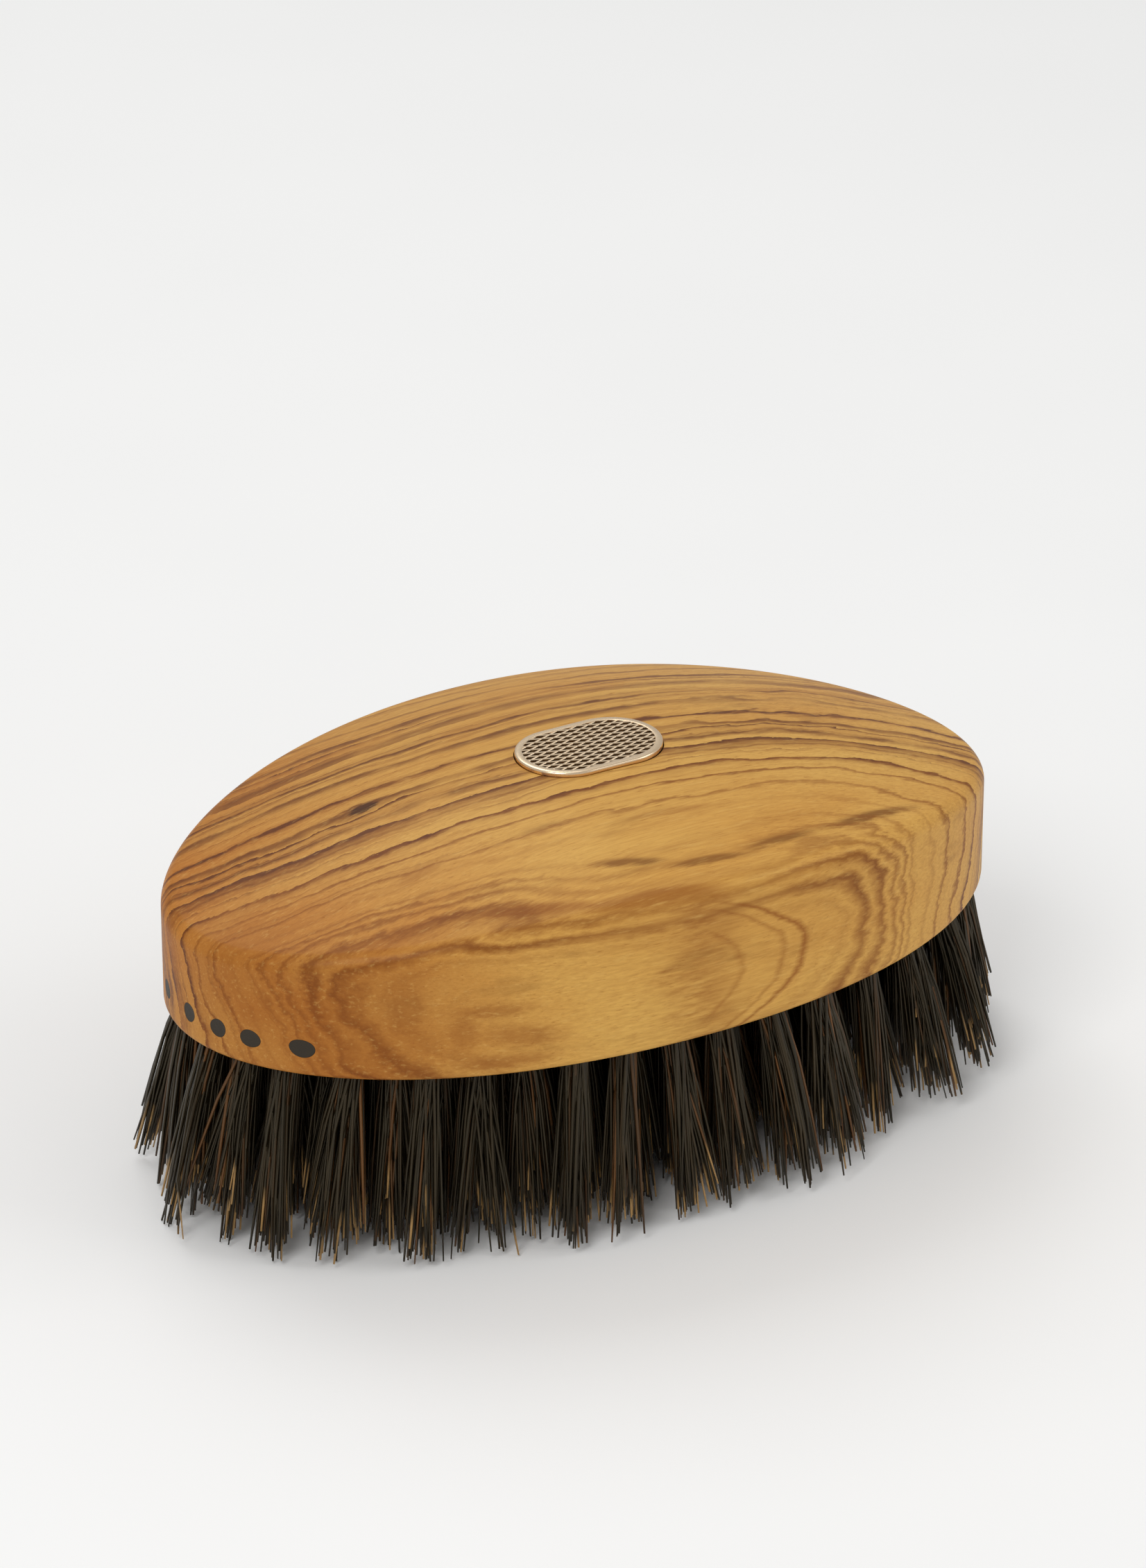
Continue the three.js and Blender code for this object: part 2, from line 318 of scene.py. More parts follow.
backSettings = {
    "lengthPower": 2.1,  # the outline's power along the length; across the width it is 2
    "crown": 22.1,
    "lengthwiseFall": 9.7, "fallLength": 50,  # how far the dome falls, and over what length
    "crosswiseFall": 4.2, "fallWidth": 29.4,
    "rimRadius": 1.5, "rimSteps": 9,
    "lowerEdgeRadius": 0.7, "lowerEdgeSteps": 5,
    "wallSteps": 8, "domeSteps": 44, "undersideSteps": 6, "around": 360,
    "innermost": 0.05, "outermost": 0.985,  # shares of the way out to the edge
    "holeRadius": 1.7, "holeTop": 4.6, "coneHeight": 0.5, "coneShare": 0.72, "holeSides": 20,
    "channelRadius": 1.05, "channelPast": 0.25, "channelInside": 0.2, "channelSides": 12,
    "cutPast": 1,  # how far a cutter stands out of the wood
    "boreGap": 0.03, "pocketGap": 0.12, "pocketTop": 24, "pocketPoints": 160,
    "sharpAngle": 32,
}


def domeHeight(x, y, s=backSettings):  # falls with the square of x and of y from the crown
    lengthwise = s["lengthwiseFall"] * (x / s["fallLength"]) ** 2
    crosswise = s["crosswiseFall"] * (y / s["fallWidth"]) ** 2
    return s["crown"] - lengthwise - crosswise


def wallLength(y, s=backSettings):  # half the outline's length at y: |x/a|^p + (y/b)^2 = 1 solved for x
    return halfLength * np.clip(1 - (np.abs(y) / halfWidth) ** 2, 0, 1) ** (1 / s["lengthPower"])


# The outline |x/a|^p + (y/b)^2 = 1 at each turn, moved inwards along its normal by inset.
def outlineAt(turns, inset, s=backSettings):
    across, up = np.cos(turns), np.sin(turns)
    x = halfLength * np.sign(across) * np.abs(across) ** (2 / s["lengthPower"])
    y = halfWidth * up
    slopeX = s["lengthPower"] / halfLength * (np.abs(x) / halfLength) ** (s["lengthPower"] - 1)
    slopeY = 2 / halfWidth * np.abs(y) / halfWidth
    size = np.hypot(slopeX, slopeY)
    return x - inset * np.sign(x) * slopeX / size, y - inset * np.sign(y) * slopeY / size


# Rings from the middle of the underside out, round the lower edge's quarter circle, up the wall, round
# the rim's quarter circle and in over the dome; each is the outline drawn in by an inset and a share.
def backEnvelope(s):
    turns = np.linspace(0, 2 * np.pi, s["around"], endpoint=False)
    rings = []

    def ring(inset, share, height):
        x, y = outlineAt(turns, inset)
        x, y = x * share, y * share
        z = height(x, y) if callable(height) else np.full_like(x, height)
        rings.append(np.stack([x, y, z + undersideZ], -1))

    edge = s["lowerEdgeRadius"]
    for share in np.linspace(s["innermost"], s["outermost"], s["undersideSteps"]):
        ring(edge, share, 0.0)
    for angle in np.linspace(0, np.pi / 2, s["lowerEdgeSteps"] + 1):
        ring(edge * (1 - math.sin(angle)), 1, edge * (1 - math.cos(angle)))
    for share in np.linspace(0, 1, s["wallSteps"] + 1)[1:-1]:
        ring(0, 1, lambda x, y: edge + share * (domeHeight(x, y) - s["rimRadius"] - edge))
    for angle in np.linspace(0, np.pi / 2, s["rimSteps"] + 1):
        inset, drop = s["rimRadius"] * (1 - math.cos(angle)), s["rimRadius"] * (1 - math.sin(angle))
        ring(inset, 1, lambda x, y: domeHeight(x, y) - drop)
    for share in np.linspace(s["outermost"], s["innermost"], s["domeSteps"]):
        ring(s["rimRadius"], share, domeHeight)
    points = np.stack(rings)
    count, around = points.shape[:2]
    ends = np.array([np.arange(around)[::-1], (count - 1) * around + np.arange(around)])
    return meshFrom("envelope", points.reshape(-1, 3), [ringQuads(count, around), ends])


rowSettings = {
    "pitch": 5.6, "endInset": 3.9, "fieldHalfWidth": 25.4,
    "lengthSpread": 1.1063, "widthSpread": 1.2178, "rows": 11,
}


def layOutRows(s):  # a row's folds stand evenly on the chord of the field's oval
    rows = []
    for number in range(1, s["rows"] + 1):
        low, high = (np.array(corner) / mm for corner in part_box(f"draw_wire_{number:02d}"))
        y = (low[1] + high[1]) / 2
        chord = (halfLength - s["endInset"]) * math.sqrt(1 - (y / s["fieldHalfWidth"]) ** 2)
        gaps = int(2 * chord / s["pitch"] + 1e-6)
        folds = np.linspace(-chord, chord, gaps + 1)
        rows.append({"y": y, "start": low[0], "end": high[0], "folds": folds})
    return rows


def leanAt(x, y, z, s=rowSettings):  # a tuft's centre at height z, on the line from fold to tip
    travelled = (channelZ - z) / channelZ
    return x * (1 + (s["lengthSpread"] - 1) * travelled), y * (1 + (s["widthSpread"] - 1) * travelled)


rows = layOutRows(rowSettings)


def ringAngles(sides):  # evenly spaced round a turn, half a step in from zero
    return (np.arange(sides) + 0.5) / sides * 2 * np.pi


def holeCutters(s):  # round blind holes that lean as their tufts do, each with a blunt cone at its top
    x = np.concatenate([row["folds"] for row in rows])
    y = np.concatenate([np.full(len(row["folds"]), row["y"]) for row in rows])
    angles = ringAngles(s["holeSides"])
    rings = []
    top = undersideZ + s["holeTop"]
    for z, share in ((undersideZ - s["cutPast"], 1), (top - s["coneHeight"], 1), (top, s["coneShare"])):
        radius = s["holeRadius"] * share
        centreX, centreY = leanAt(x, y, z)
        rings.append(np.stack([centreX[:, None] + radius * np.cos(angles),
                               centreY[:, None] + radius * np.sin(angles),
                               np.full((len(x), len(angles)), z)], -1))
    return meshFrom("holes", *manyTubes(np.stack(rings, 1)))


def barsAlongX(starts, ends, ys, radii, sides):  # round bars along x at the channels' height
    angles = ringAngles(sides)
    starts, ends, ys, radii = (np.asarray(v, float)[:, None] for v in (starts, ends, ys, radii))
    rings = [np.stack([x + 0 * angles, ys + radii * np.cos(angles), channelZ + radii * np.sin(angles)], -1)
             for x in (starts, ends)]
    return meshFrom("bars", *manyTubes(np.stack(rings, 1)))


# A stadium's outline: two straight sides and two round ends, as about count points, counter-clockwise.
def stadium(halfStraight, radius, count):
    straight, arc = 4 * halfStraight, 2 * np.pi * radius
    sidePoints = max(2, round(count * straight / (straight + arc) / 2))
    endPoints = max(8, (count - 2 * sidePoints) // 2)
    turn = np.linspace(-np.pi / 2, np.pi / 2, endPoints, endpoint=False)
    line = np.linspace(halfStraight, -halfStraight, sidePoints, endpoint=False)
    x = np.concatenate([halfStraight + radius * np.cos(turn), line,
                        -halfStraight - radius * np.cos(turn), -line])
    y = np.concatenate([radius * np.sin(turn), np.full(sidePoints, radius),
                        -radius * np.sin(turn), np.full(sidePoints, -radius)])
    return x, y


def prism(x, y, low, high):  # an upright prism on a level outline
    rings = np.stack([np.stack([x, y, np.full_like(x, z)], -1) for z in (low, high)])
    return meshFrom("prism", *manyTubes(rings[None]))


def cutAway(piece, cutters):  # takes the cutters' shapes out of a piece, one after another
    tools = []
    for number, mesh in enumerate(cutters):
        tool = addObject(f"cutter_{number}", mesh)
        change = piece.modifiers.new(f"cut_{number}", "BOOLEAN")
        change.operation, change.object, change.solver = "DIFFERENCE", tool, "MANIFOLD"
        tools.append(tool)
    graph = bpy.context.evaluated_depsgraph_get()
    mesh = bpy.data.meshes.new_from_object(piece.evaluated_get(graph), depsgraph=graph)
    piece.modifiers.clear()
    piece.data = mesh
    for tool in tools:
        bpy.data.objects.remove(tool)
    return mesh


plugSettings = {
    "count": 7, "length": 1.8, "radius": 1.05, "around": 40, "steps": 7, "innermost": 0.06,
    "wobble": 0.05, "twoLobes": 0.6, "threeLobes": 0.4, "spin": 1.7, "dish": 0.035, "dishPower": 4,
    "dark": "241d12", "brown": "33291a", "speck": "6b5a40", "sharpAngle": 40,
}


# A drilled round that the filler has crept past: a circle with sines of twice and three times the angle
# added, both turned by the plug's number.
def plugRadius(angles, number, s=plugSettings):
    spin = number * s["spin"]
    lobes = s["twoLobes"] * np.sin(2 * angles + spin)
    lobes = lobes + s["threeLobes"] * np.sin(3 * angles + 2.3 * spin)
    return s["radius"] * (1 + s["wobble"] * lobes)


def plugCentres():
    boxes = [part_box(f"channel_plug_{number + 1}") for number in range(plugSettings["count"])]
    return [(low[1] + high[1]) / 2 / mm for low, high in boxes]


# A plug's skin: a face that follows the wall, hollow by the dish times one minus the fourth power of the
# share of the way out, then the side and a flat back.
def plugMesh(number, y, s=plugSettings):
    angles = ringAngles(s["around"])
    radius = plugRadius(angles, number)
    seat = s["length"] - wallLength(np.array(y))
    rings = []
    for share in np.linspace(s["innermost"], 1, s["steps"]):
        ys = y + share * radius * np.cos(angles)
        zs = channelZ + share * radius * np.sin(angles)
        hollow = s["dish"] * (1 - share ** s["dishPower"])
        rings.append(np.stack([-wallLength(ys) + hollow, ys, zs], -1))
    backY, backZ = y + radius * np.cos(angles), channelZ + radius * np.sin(angles)
    rings.append(np.stack([np.full_like(backY, seat), backY, backZ], -1))
    return meshFrom("plug", *manyTubes(np.stack(rings)[None]))


def plugBores(gap, past):  # the plugs' bores, wider than the plugs by the gap, out past the wall
    rings = []
    angles = ringAngles(plugSettings["around"])
    for number, y in enumerate(plugCentres()):
        radius = plugRadius(angles, number) + gap
        ys, zs = y + radius * np.cos(angles), channelZ + radius * np.sin(angles)
        seat = plugSettings["length"] - wallLength(np.array(y))
        rings.append([np.stack([np.full_like(ys, x), ys, zs], -1) for x in (-halfLength - past, seat)])
    return meshFrom("bores", *manyTubes(np.array(rings)))


badgeLow, badgeHigh = (np.array(corner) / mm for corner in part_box("badge_grille"))
badgeCentre = (badgeLow[0] + badgeHigh[0]) / 2
badgeSettings = {
    "endRadius": (badgeHigh[1] - badgeLow[1]) / 2, "border": 0.85, "around": 220,
    "outerBevel": 0.24, "innerBevel": 0.06, "bevelSteps": 4, "underlap": 0.015,
    "ribWidth": 0.22, "ribPitch": 1.7 / 2, "ribAngle": 20, "ribBevel": 0.06, "ribDrop": 0.03,
    "ribLift": 0.01, "ribInBorder": 0.55, "shortestRib": 0.6, "farthestEnd": 16, "endSteps": 6401,
    "metalLight": "f6dfc0", "metalDark": "ecd0aa", "metalRoughness": 0.24,
    "enamelDark": "0d0a08", "enamelDusty": "1a1512", "enamelRoughness": 0.4,
    "sharpAngle": 30,
}
badgeHalfStraight = (badgeHigh[0] - badgeLow[0]) / 2 - badgeSettings["endRadius"]


woodSettings = {
    "light": "dcac59", "honey": "ca9042", "left": "b87129", "pale": "e8bd6c",
    "line": "592b0a", "softLine": "8b4a15", "smudge": "7a4d1f", "knot": "35190a",
    "knotPlace": (-25.3, 3.8), "knotReach": (3.0, 1.4),
    "figurePlace": (27.0, 4.0), "figureReach": (14.0, 7.0),
    "ringPitch": 2.1, "threadPitch": 0.62,
    # the face it lies on, its middle along and across, its reach both ways, its slope, colour and strength
    "smudges": [
        ("top", 24.0, -22.2, 7.0, 0.9, 0.2, "smudge", 0.85),
        ("top", 11.0, -24.3, 5.0, 0.8, 0.1, "smudge", 0.8),
        ("top", 1.5, -25.0, 5.0, 0.7, -0.12, "smudge", 0.75),
        ("top", -7.0, -22.0, 4.0, 0.8, -0.35, "smudge", 0.8),
        ("top", -11.8, -12.4, 3.0, 0.6, -0.1, "smudge", 0.4),
        ("top", -26.5, -11.4, 3.5, 1.0, 0.0, "softLine", 0.35),
        ("top", 2.0, -16.0, 6.0, 0.6, -0.1, "softLine", 0.35),
        ("top", -19.5, -23.8, 7.0, 1.1, -0.42, "softLine", 0.6),
        ("top", -7.0, -27.9, 9.0, 1.1, -0.16, "softLine", 0.65),
        ("front", -25.5, 8.1, 5.0, 0.9, 0.0, "softLine", 0.45),
        ("front", -28.6, 5.6, 1.7, 2.6, 0.0, "softLine", 0.4),
        ("front", -22.4, 4.6, 4.6, 1.5, -0.1, "softLine", 0.45),
        ("front", -24.5, 1.8, 5.6, 1.1, 0.0, "softLine", 0.5),
        ("front", -34.0, 9.0, 2.0, 3.0, 0.0, "softLine", 0.4),
    ],
    # marked growth lines: place in the layers, strength, rise and fall, in millimetres
    "featureFrom": 14.0, "featureSpan": 18.0,
    "features": [
        (16.4, 0.22, 0.7, 0.5), (17.85, 0.9, 0.9, 0.5), (19.1, 0.95, 0.65, 0.4), (20.0, 0.7, 0.4, 0.3),
        (20.8, 0.65, 0.4, 0.2), (21.5, 0.45, 0.3, 0.2), (23.3, 0.28, 0.4, 0.25), (24.9, 0.7, 0.45, 0.2),
        (27.2, 0.85, 0.45, 0.2), (29.3, 0.9, 0.5, 0.2),
    ],
    "backFrom": 31.0, "backSpan": 32.0,
    "backFeatures": [
        (32.2, 0.5, 0.4, 0.25), (35.4, 0.8, 0.9, 0.25), (38.6, 1.0, 1.3, 0.35), (41.6, 0.7, 0.6, 0.25),
        (46.4, 0.9, 1.5, 0.3), (49.3, 1.0, 0.8, 0.35), (53.4, 0.6, 1.2, 0.4), (57.2, 0.9, 1.4, 0.3),
        (60.6, 0.6, 0.8, 0.3),
    ],
    "branchHeight": 7.7, "branchBow": 0.16, "branchFrom": 0.0, "branchSpan": 16.0,
    "branchLines": [(3.2, 0.35, 0.9, 0.7), (9.0, 0.4, 0.8, 0.6), (11.6, 0.75, 0.8, 0.9)],
}

layerSettings = {
    "tiltLength": 50.0, "tilt": (2.55, -3.45, 5.48),  # shares of x over that length, its square and its cube
    "offset": 45.0, "rise": 0.373, "softening": 4.0,
    "core": (-11.86, -6.38), "coreReach": (31.0, 19.33), "corePower": 5.08, "coreScale": 15.77,
    "joinPower": 9.0,
}


# The place in the growth layers, in millimetres: flat layers that lie across the width, tilted along
# the length and softened near zero (the root of the square plus a little), joined by a ninth-power sum
# to boxy shells, the fifth-power sums of the distances from a core low in the front wall.
def growthLayers(x, y, z, s=layerSettings):
    along = x / s["tiltLength"]
    first, second, third = s["tilt"]
    tilt = along * (first + along * (along * third + second))
    flat = y + tilt + s["offset"] - z * s["rise"]
    flat = (flat * flat + s["softening"]) ** 0.5
    (coreX, coreZ), (reachX, reachZ), power = s["core"], s["coreReach"], s["corePower"]
    shell = abs((x - coreX) / reachX) ** power + abs((z - coreZ) / reachZ) ** power
    shell = shell ** (1 / power) * s["coreScale"]
    return (flat ** s["joinPower"] + shell ** s["joinPower"]) ** (1 / s["joinPower"])


def featureLines(layer, features, start, span):  # each rises to its strength and falls away again
    stops = []
    for place, strength, rise, fall in features:
        middle = (place - start) / span
        stops += [(middle - rise / span, 0.0), (middle, strength), (middle + fall / span, 0.0)]
    return ((layer - start) / span).ramp(stops)


def softSpot(x, y, centre, reach):  # exp of minus the squared distance, counted in reaches
    acrossX, acrossY = (x - centre[0]) / reach[0], (y - centre[1]) / reach[1]
    return ((acrossX * acrossX + acrossY * acrossY) * -1.0).exp()


def woodMaterial(s):
    material, place = newMaterial("oliveWood")
    x, y, height = splitAxes(place)
    z = height - float(undersideZ)
    knot = softSpot(x, y, s["knotPlace"], s["knotReach"])
    figure = softSpot(x, y, s["figurePlace"], s["figureReach"])  # wavy wood beside the badge
    slow = place.noise((0.035, 0.07, 0.09), 2) * 1.7
    frontRim = softSpot(x, z, (-2.0, 18.0), (18.0, 5.0)) * y.between(-12.0, -18.0)
    ripple = place.noise((0.11, 0.32, 0.32), 3, 0.55, (3, 1, 7))
    ripple = ripple * (0.9 + figure * 2.4 + knot) * (1.0 - frontRim * 0.8)
    feather = place.noise((0.4, 1.9, 1.9), 3, 0.62, (9, 4, 2)) * 0.38
    layer = growthLayers(x, y, z) + slow + ripple + feather - (y - s["knotPlace"][1]) * knot * 0.8

    # lines laid down with the growth: a soft rise and a quick fall, each with its own strength
    strengthAlong = place.noise((0.085, 0.16, 0.16), 2, 0.55, (5, 8, 1))
    ring = layer / s["ringPitch"] + layer.noiseAlong(0.21, 1, 3.0) * 1.4
    ringNumber = ring.floor()
    ringRise = (ring - ringNumber) ** 5.0
    ringStrength = ringNumber.random() ** 1.6
    thin = layer / s["threadPitch"] + layer.noiseAlong(0.4, 1, 11.0) * 1.2
    thinNumber = thin.floor()
    thinRise = (thin - thinNumber) ** 3.0 * (thinNumber + 0.5).random() ** 2.5
    busy = layer.between(24.0, 31.0) * 0.8 + x.between(-12.0, -30.0) * layer.between(21.0, 24.0) * 0.5
    fading = (strengthAlong * 1.9 + 0.7).clamped()
    lines = ringRise * ringStrength * 2.0 * (busy + 0.05) * fading
    threads = thinRise * (busy + 0.08) * (strengthAlong * -1.8 + 0.65).clamped()

    features = featureLines(layer, s["features"], s["featureFrom"], s["featureSpan"])
    features = features * (place.noise((0.05, 0.1, 0.1), 1, 0.5, (1, 2, 3)) * 0.7 + 0.9).clamped()
    features = features * (1.0 - frontRim * 0.6)
    backLines = featureLines(layer, s["backFeatures"], s["backFrom"], s["backSpan"])
    lines = lines + backLines * (fading * 0.75 + 0.2)

    # a branch leaves a bow on the front wall: x plus a share of the squared height over its middle
    overBranch = z - s["branchHeight"]
    branch = x + overBranch * overBranch * s["branchBow"] + ripple * 1.1 + feather * 1.5
    bows = featureLines(branch, s["branchLines"], s["branchFrom"], s["branchSpan"])
    bows = bows * y.between(-24.0, -27.0) * z.between(17.5, 14.0) * x.between(-4.0, 1.0)

    # colour: golden in the open zone, browner to the left and back, then lines, smudges and fibres
    broad = place.noise((0.03, 0.09, 0.09), 2, 0.5, (2, 6, 4))
    colour = place.mixed((broad * 0.9 + 0.36).clamped(), linear(s["light"]), linear(s["honey"]))
    leftShare = (x.between(-8.0, -44.0) * 0.95 + layer.between(28.0, 60.0) * 0.12).clamped()
    colour = place.mixed(leftShare * (broad * 0.5 + 0.65), colour, linear(s["left"]))
    leftWall = y.between(0.0, -6.0) * x.between(-22.0, -38.0) * z.between(17.0, 12.0)
    colour = place.mixed(leftWall * (broad * 0.6 + 0.6).clamped() * 0.5, colour, linear(s["softLine"]))
    stripes = layer.noiseAlong(0.45, 2, 20.0).between(0.0, 0.6) * busy
    colour = place.mixed(stripes * 0.35, colour, linear(s["softLine"]))
    ringShade = (ring - ringNumber) ** 2.0 * ringStrength * 0.4 * busy
    colour = place.mixed(ringShade.clamped(), colour, linear(s["softLine"]))
    streaky = place.noise((0.14, 2.2, 2.2), 3, 0.6, (6, 2, 4)) * 0.5 + 0.95
    for face, centreX, centreY, reachX, reachY, slope, tint, share in s["smudges"]:
        across = (z if face == "front" else y) - (x - centreX) * slope
        patch = softSpot(x, across + ripple * 0.6 + feather, (centreX, centreY), (reachX, reachY))
        patch = (patch * streaky + feather * patch).between(0.12, 0.85) * share
        colour = place.mixed(patch, colour, linear(s[tint]))
    cloudy = place.noise((0.055, 0.22, 0.3), 3, 0.6, (4, 4, 9)).between(0.16, 0.62)
    cloudy = cloudy * y.between(-2.0, -16.0) * x.between(-42.0, -24.0)
    colour = place.mixed(cloudy * 0.4, colour, linear(s["smudge"]))
    colour = place.mixed(bows, colour, linear(s["softLine"]))
    colour = place.mixed((features * 0.95).clamped(), colour, linear(s["softLine"]))
    colour = place.mixed((features ** 2.0 * 0.55).clamped(), colour, linear(s["line"]))
    colour = place.mixed((threads * 0.8).clamped(), colour, linear(s["softLine"]))
    colour = place.mixed((lines * 1.4).clamped() * 0.5, colour, linear(s["softLine"]))
    colour = place.mixed(lines.clamped() * 0.9, colour, linear(s["line"]))
    knotCore = (knot + feather * 0.6 + ripple * 0.1).between(0.6, 0.85)
    colour = place.mixed(knotCore * 0.9, colour, linear(s["knot"]))
    greyed = figure * place.noise((0.12, 0.5, 0.5), 3, 0.6, (7, 7, 7)).between(-0.1, 0.6)
    colour = place.mixed(greyed * 0.5, colour, linear(s["smudge"]))
    fibre = place.noise((0.22, 4.5, 4.5), 3, 0.65, (1, 5, 5))
    colour = place.mixed((fibre * 0.7 + 0.2).clamped() * 0.5, colour, linear(s["softLine"]))
    dashes = place.noise((0.55, 3.4, 3.4), 3, 0.7, (3, 9, 2)).between(0.1, 0.5)
    colour = place.mixed(dashes * 0.28, colour, linear(s["softLine"]))
    pale = place.noise((0.3, 2.6, 2.6), 3, 0.6, (8, 8, 1)).between(0.05, 0.6)
    colour = place.mixed(pale * 0.3, colour, linear(s["pale"]))
    pores = place.noise((0.4, 5.0, 5.0), 2, 0.5, (8, 3, 6)).between(0.28, 0.55)
    colour = place.mixed(pores * 0.4, colour, linear(s["softLine"]))

    # satin lacquer: the fibres show through a thin coat
    grainHeight = fibre * 0.5 + pores * -0.6 + lines * -0.4
    normal = place.bump(grainHeight, 0.018, 0.5)
    roughness = 0.5 + fibre * 0.05 + pores * 0.1 - lines * 0.05
    finishMaterial(place, {"Base Color": colour, "Roughness": roughness, "Normal": normal,
                           "Specular IOR Level": 0.11, "Coat Weight": 0.05 - pores * 0.03,
                           "Coat Roughness": 0.16})
    return material


def addBack(s):
    piece = addObject("olive_wood_back", backEnvelope(s))
    wallReach = [wallLength(np.array(row["y"])) for row in rows]
    starts = [max(row["start"] - s["channelPast"], s["channelInside"] - reach)
              for row, reach in zip(rows, wallReach)]
    ends = [row["end"] + s["channelPast"] for row in rows]
    channels = barsAlongX(starts, ends, [row["y"] for row in rows],
                          [s["channelRadius"]] * len(rows), s["channelSides"])
    x, y = stadium(badgeHalfStraight, badgeSettings["endRadius"] + s["pocketGap"], s["pocketPoints"])
    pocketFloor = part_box("badge_adhesive")[0][2] / mm
    pocket = prism(x + badgeCentre, y, pocketFloor, undersideZ + s["pocketTop"])
    bores = plugBores(s["boreGap"], s["cutPast"])
    mesh = cutAway(piece, [holeCutters(s), channels, bores, pocket])
    smoothShading(mesh, s["sharpAngle"])
    print("wooden back has", len(mesh.polygons), "faces")
    placePiece(piece, woodMaterial(woodSettings), ["brush_body"])


addBack(backSettings)


def fillerMaterial(s):
    material, place = newMaterial("blackFiller")
    grain = place.noise((3.0, 3.0, 3.0), 4, 0.6)
    speck = place.noise((7.0, 7.0, 7.0), 2, 0.5, (4, 2, 9)).between(0.35, 0.6)
    colour = place.mixed((grain * 0.5 + 0.5).clamped(), linear(s["dark"]), linear(s["brown"]))
    colour = place.mixed(speck * 0.2, colour, linear(s["speck"]))
    finishMaterial(place, {"Base Color": colour, "Roughness": 0.55 + grain * 0.1,
                           "Normal": place.bump(grain, 0.03, 0.5), "Specular IOR Level": 0.3,
                           "Coat Weight": 0.05, "Coat Roughness": 0.35})
    return material


def addPlugs(s):
    material = fillerMaterial(s)
    for number, y in enumerate(plugCentres()):
        mesh = plugMesh(number, y)
        piece = addObject(f"filler_plug_{number + 1}", mesh)
        smoothShading(mesh, s["sharpAngle"])
        placePiece(piece, material, [f"channel_plug_{number + 1}"])
    print("plugs done")


addPlugs(plugSettings)


# The border's section as (distance out from the window's edge, height): inner wall up, small inner
# quarter circle, flat top, wider outer quarter circle, outer wall down.
def borderSection(s, low, high):
    turns = np.linspace(0, np.pi / 2, s["bevelSteps"] + 1)
    inner, outer, width = s["innerBevel"], s["outerBevel"], s["border"]
    innerRound = [(inner * (1 - math.cos(t)), high - inner * (1 - math.sin(t))) for t in turns]
    outerRound = [(width - outer * (1 - math.sin(t)), high - outer * (1 - math.cos(t))) for t in turns]
    return np.array([(0, low)] + innerRound + outerRound + [(width, low)])


# The border: its section carried round the window's stadium, each point pushed out along the direction
# away from the nearest point of the stadium's core line.
def borderRing(s, low, high):
    section = borderSection(s, low, high)
    window = s["endRadius"] - s["border"]
    rings = []
    for out, height in section:
        x, y = stadium(badgeHalfStraight, window, s["around"])
        fromCore = np.stack([x - np.clip(x, -badgeHalfStraight, badgeHalfStraight), y], -1)
        direction = fromCore / np.linalg.norm(fromCore, axis=-1, keepdims=True)
        rings.append(np.stack([x + out * direction[:, 0] + badgeCentre, y + out * direction[:, 1],
                               np.full_like(x, height)], -1))
    points = np.stack(rings)
    return points.reshape(-1, 3), [ringQuads(len(points), points.shape[1], closedRings=True)]


# Where a straight line leaves the stadium of the given end radius: it runs at an angle to the length,
# passes the centre at a distance, and is tried at even steps.
def ribEnds(s, distance, angle, reach):
    direction = np.array([math.cos(angle), math.sin(angle)])
    across = np.array([-direction[1], direction[0]])
    steps = np.linspace(-s["farthestEnd"], s["farthestEnd"], s["endSteps"])
    x, y = (distance * across[axis] + steps * direction[axis] for axis in (0, 1))
    inside = np.hypot(np.maximum(np.abs(x) - badgeHalfStraight, 0), y) < reach
    return (steps[inside][0], steps[inside][-1], direction, across) if inside.any() else None


# Straight ribs, each a bar with its top edges taken off, at plus and minus the rib angle; those of one
# side lie a little lower than those of the other.
def ribRings(s, low, high):
    reach = s["endRadius"] - s["border"] * s["ribInBorder"]
    half, bevel = s["ribWidth"] / 2, s["ribBevel"]
    count = math.ceil((badgeHalfStraight + s["endRadius"]) / s["ribPitch"])
    rings = []
    for side in (-1, 1):
        top = high - s["ribDrop"] * (2 if side > 0 else 1)
        section = np.array([(-half, low), (half, low), (half, top - bevel), (half - bevel, top),
                            (bevel - half, top), (-half, top - bevel)])
        for number in range(-count, count + 1):
            found = ribEnds(s, number * s["ribPitch"], side * math.radians(s["ribAngle"]), reach)
            if found is None or found[1] - found[0] < s["shortestRib"]:
                continue
            first, last, direction, across = found
            aside = number * s["ribPitch"] + section[:, 0]
            rings.append([np.stack([badgeCentre + step * direction[0] + aside * across[0],
                                    step * direction[1] + aside * across[1], section[:, 1]], -1)
                          for step in (first, last)])
    return np.array(rings)


def metalMaterial(s):
    material, place = newMaterial("roseMetal")
    brushed = place.noise((0.5, 5.0, 2.0), 3, 0.6)
    cloud = place.noise((0.3, 0.3, 0.3), 2, 0.5, (3, 3, 3))
    colour = place.mixed((cloud * 0.5 + 0.5).clamped(), linear(s["metalLight"]), linear(s["metalDark"]))
    finishMaterial(place, {"Base Color": colour, "Metallic": 1.0,
                           "Roughness": s["metalRoughness"] + brushed * 0.05,
                           "Normal": place.bump(brushed, 0.004, 0.15)})
    return material


def enamelMaterial(s):
    material, place = newMaterial("blackEnamel")
    dust = place.noise((5.0, 5.0, 5.0), 3, 0.6)
    colour = place.mixed((dust * 0.5 + 0.5).clamped(), linear(s["enamelDark"]), linear(s["enamelDusty"]))
    finishMaterial(place, {"Base Color": colour, "Roughness": s["enamelRoughness"] + dust * 0.08})
    return material


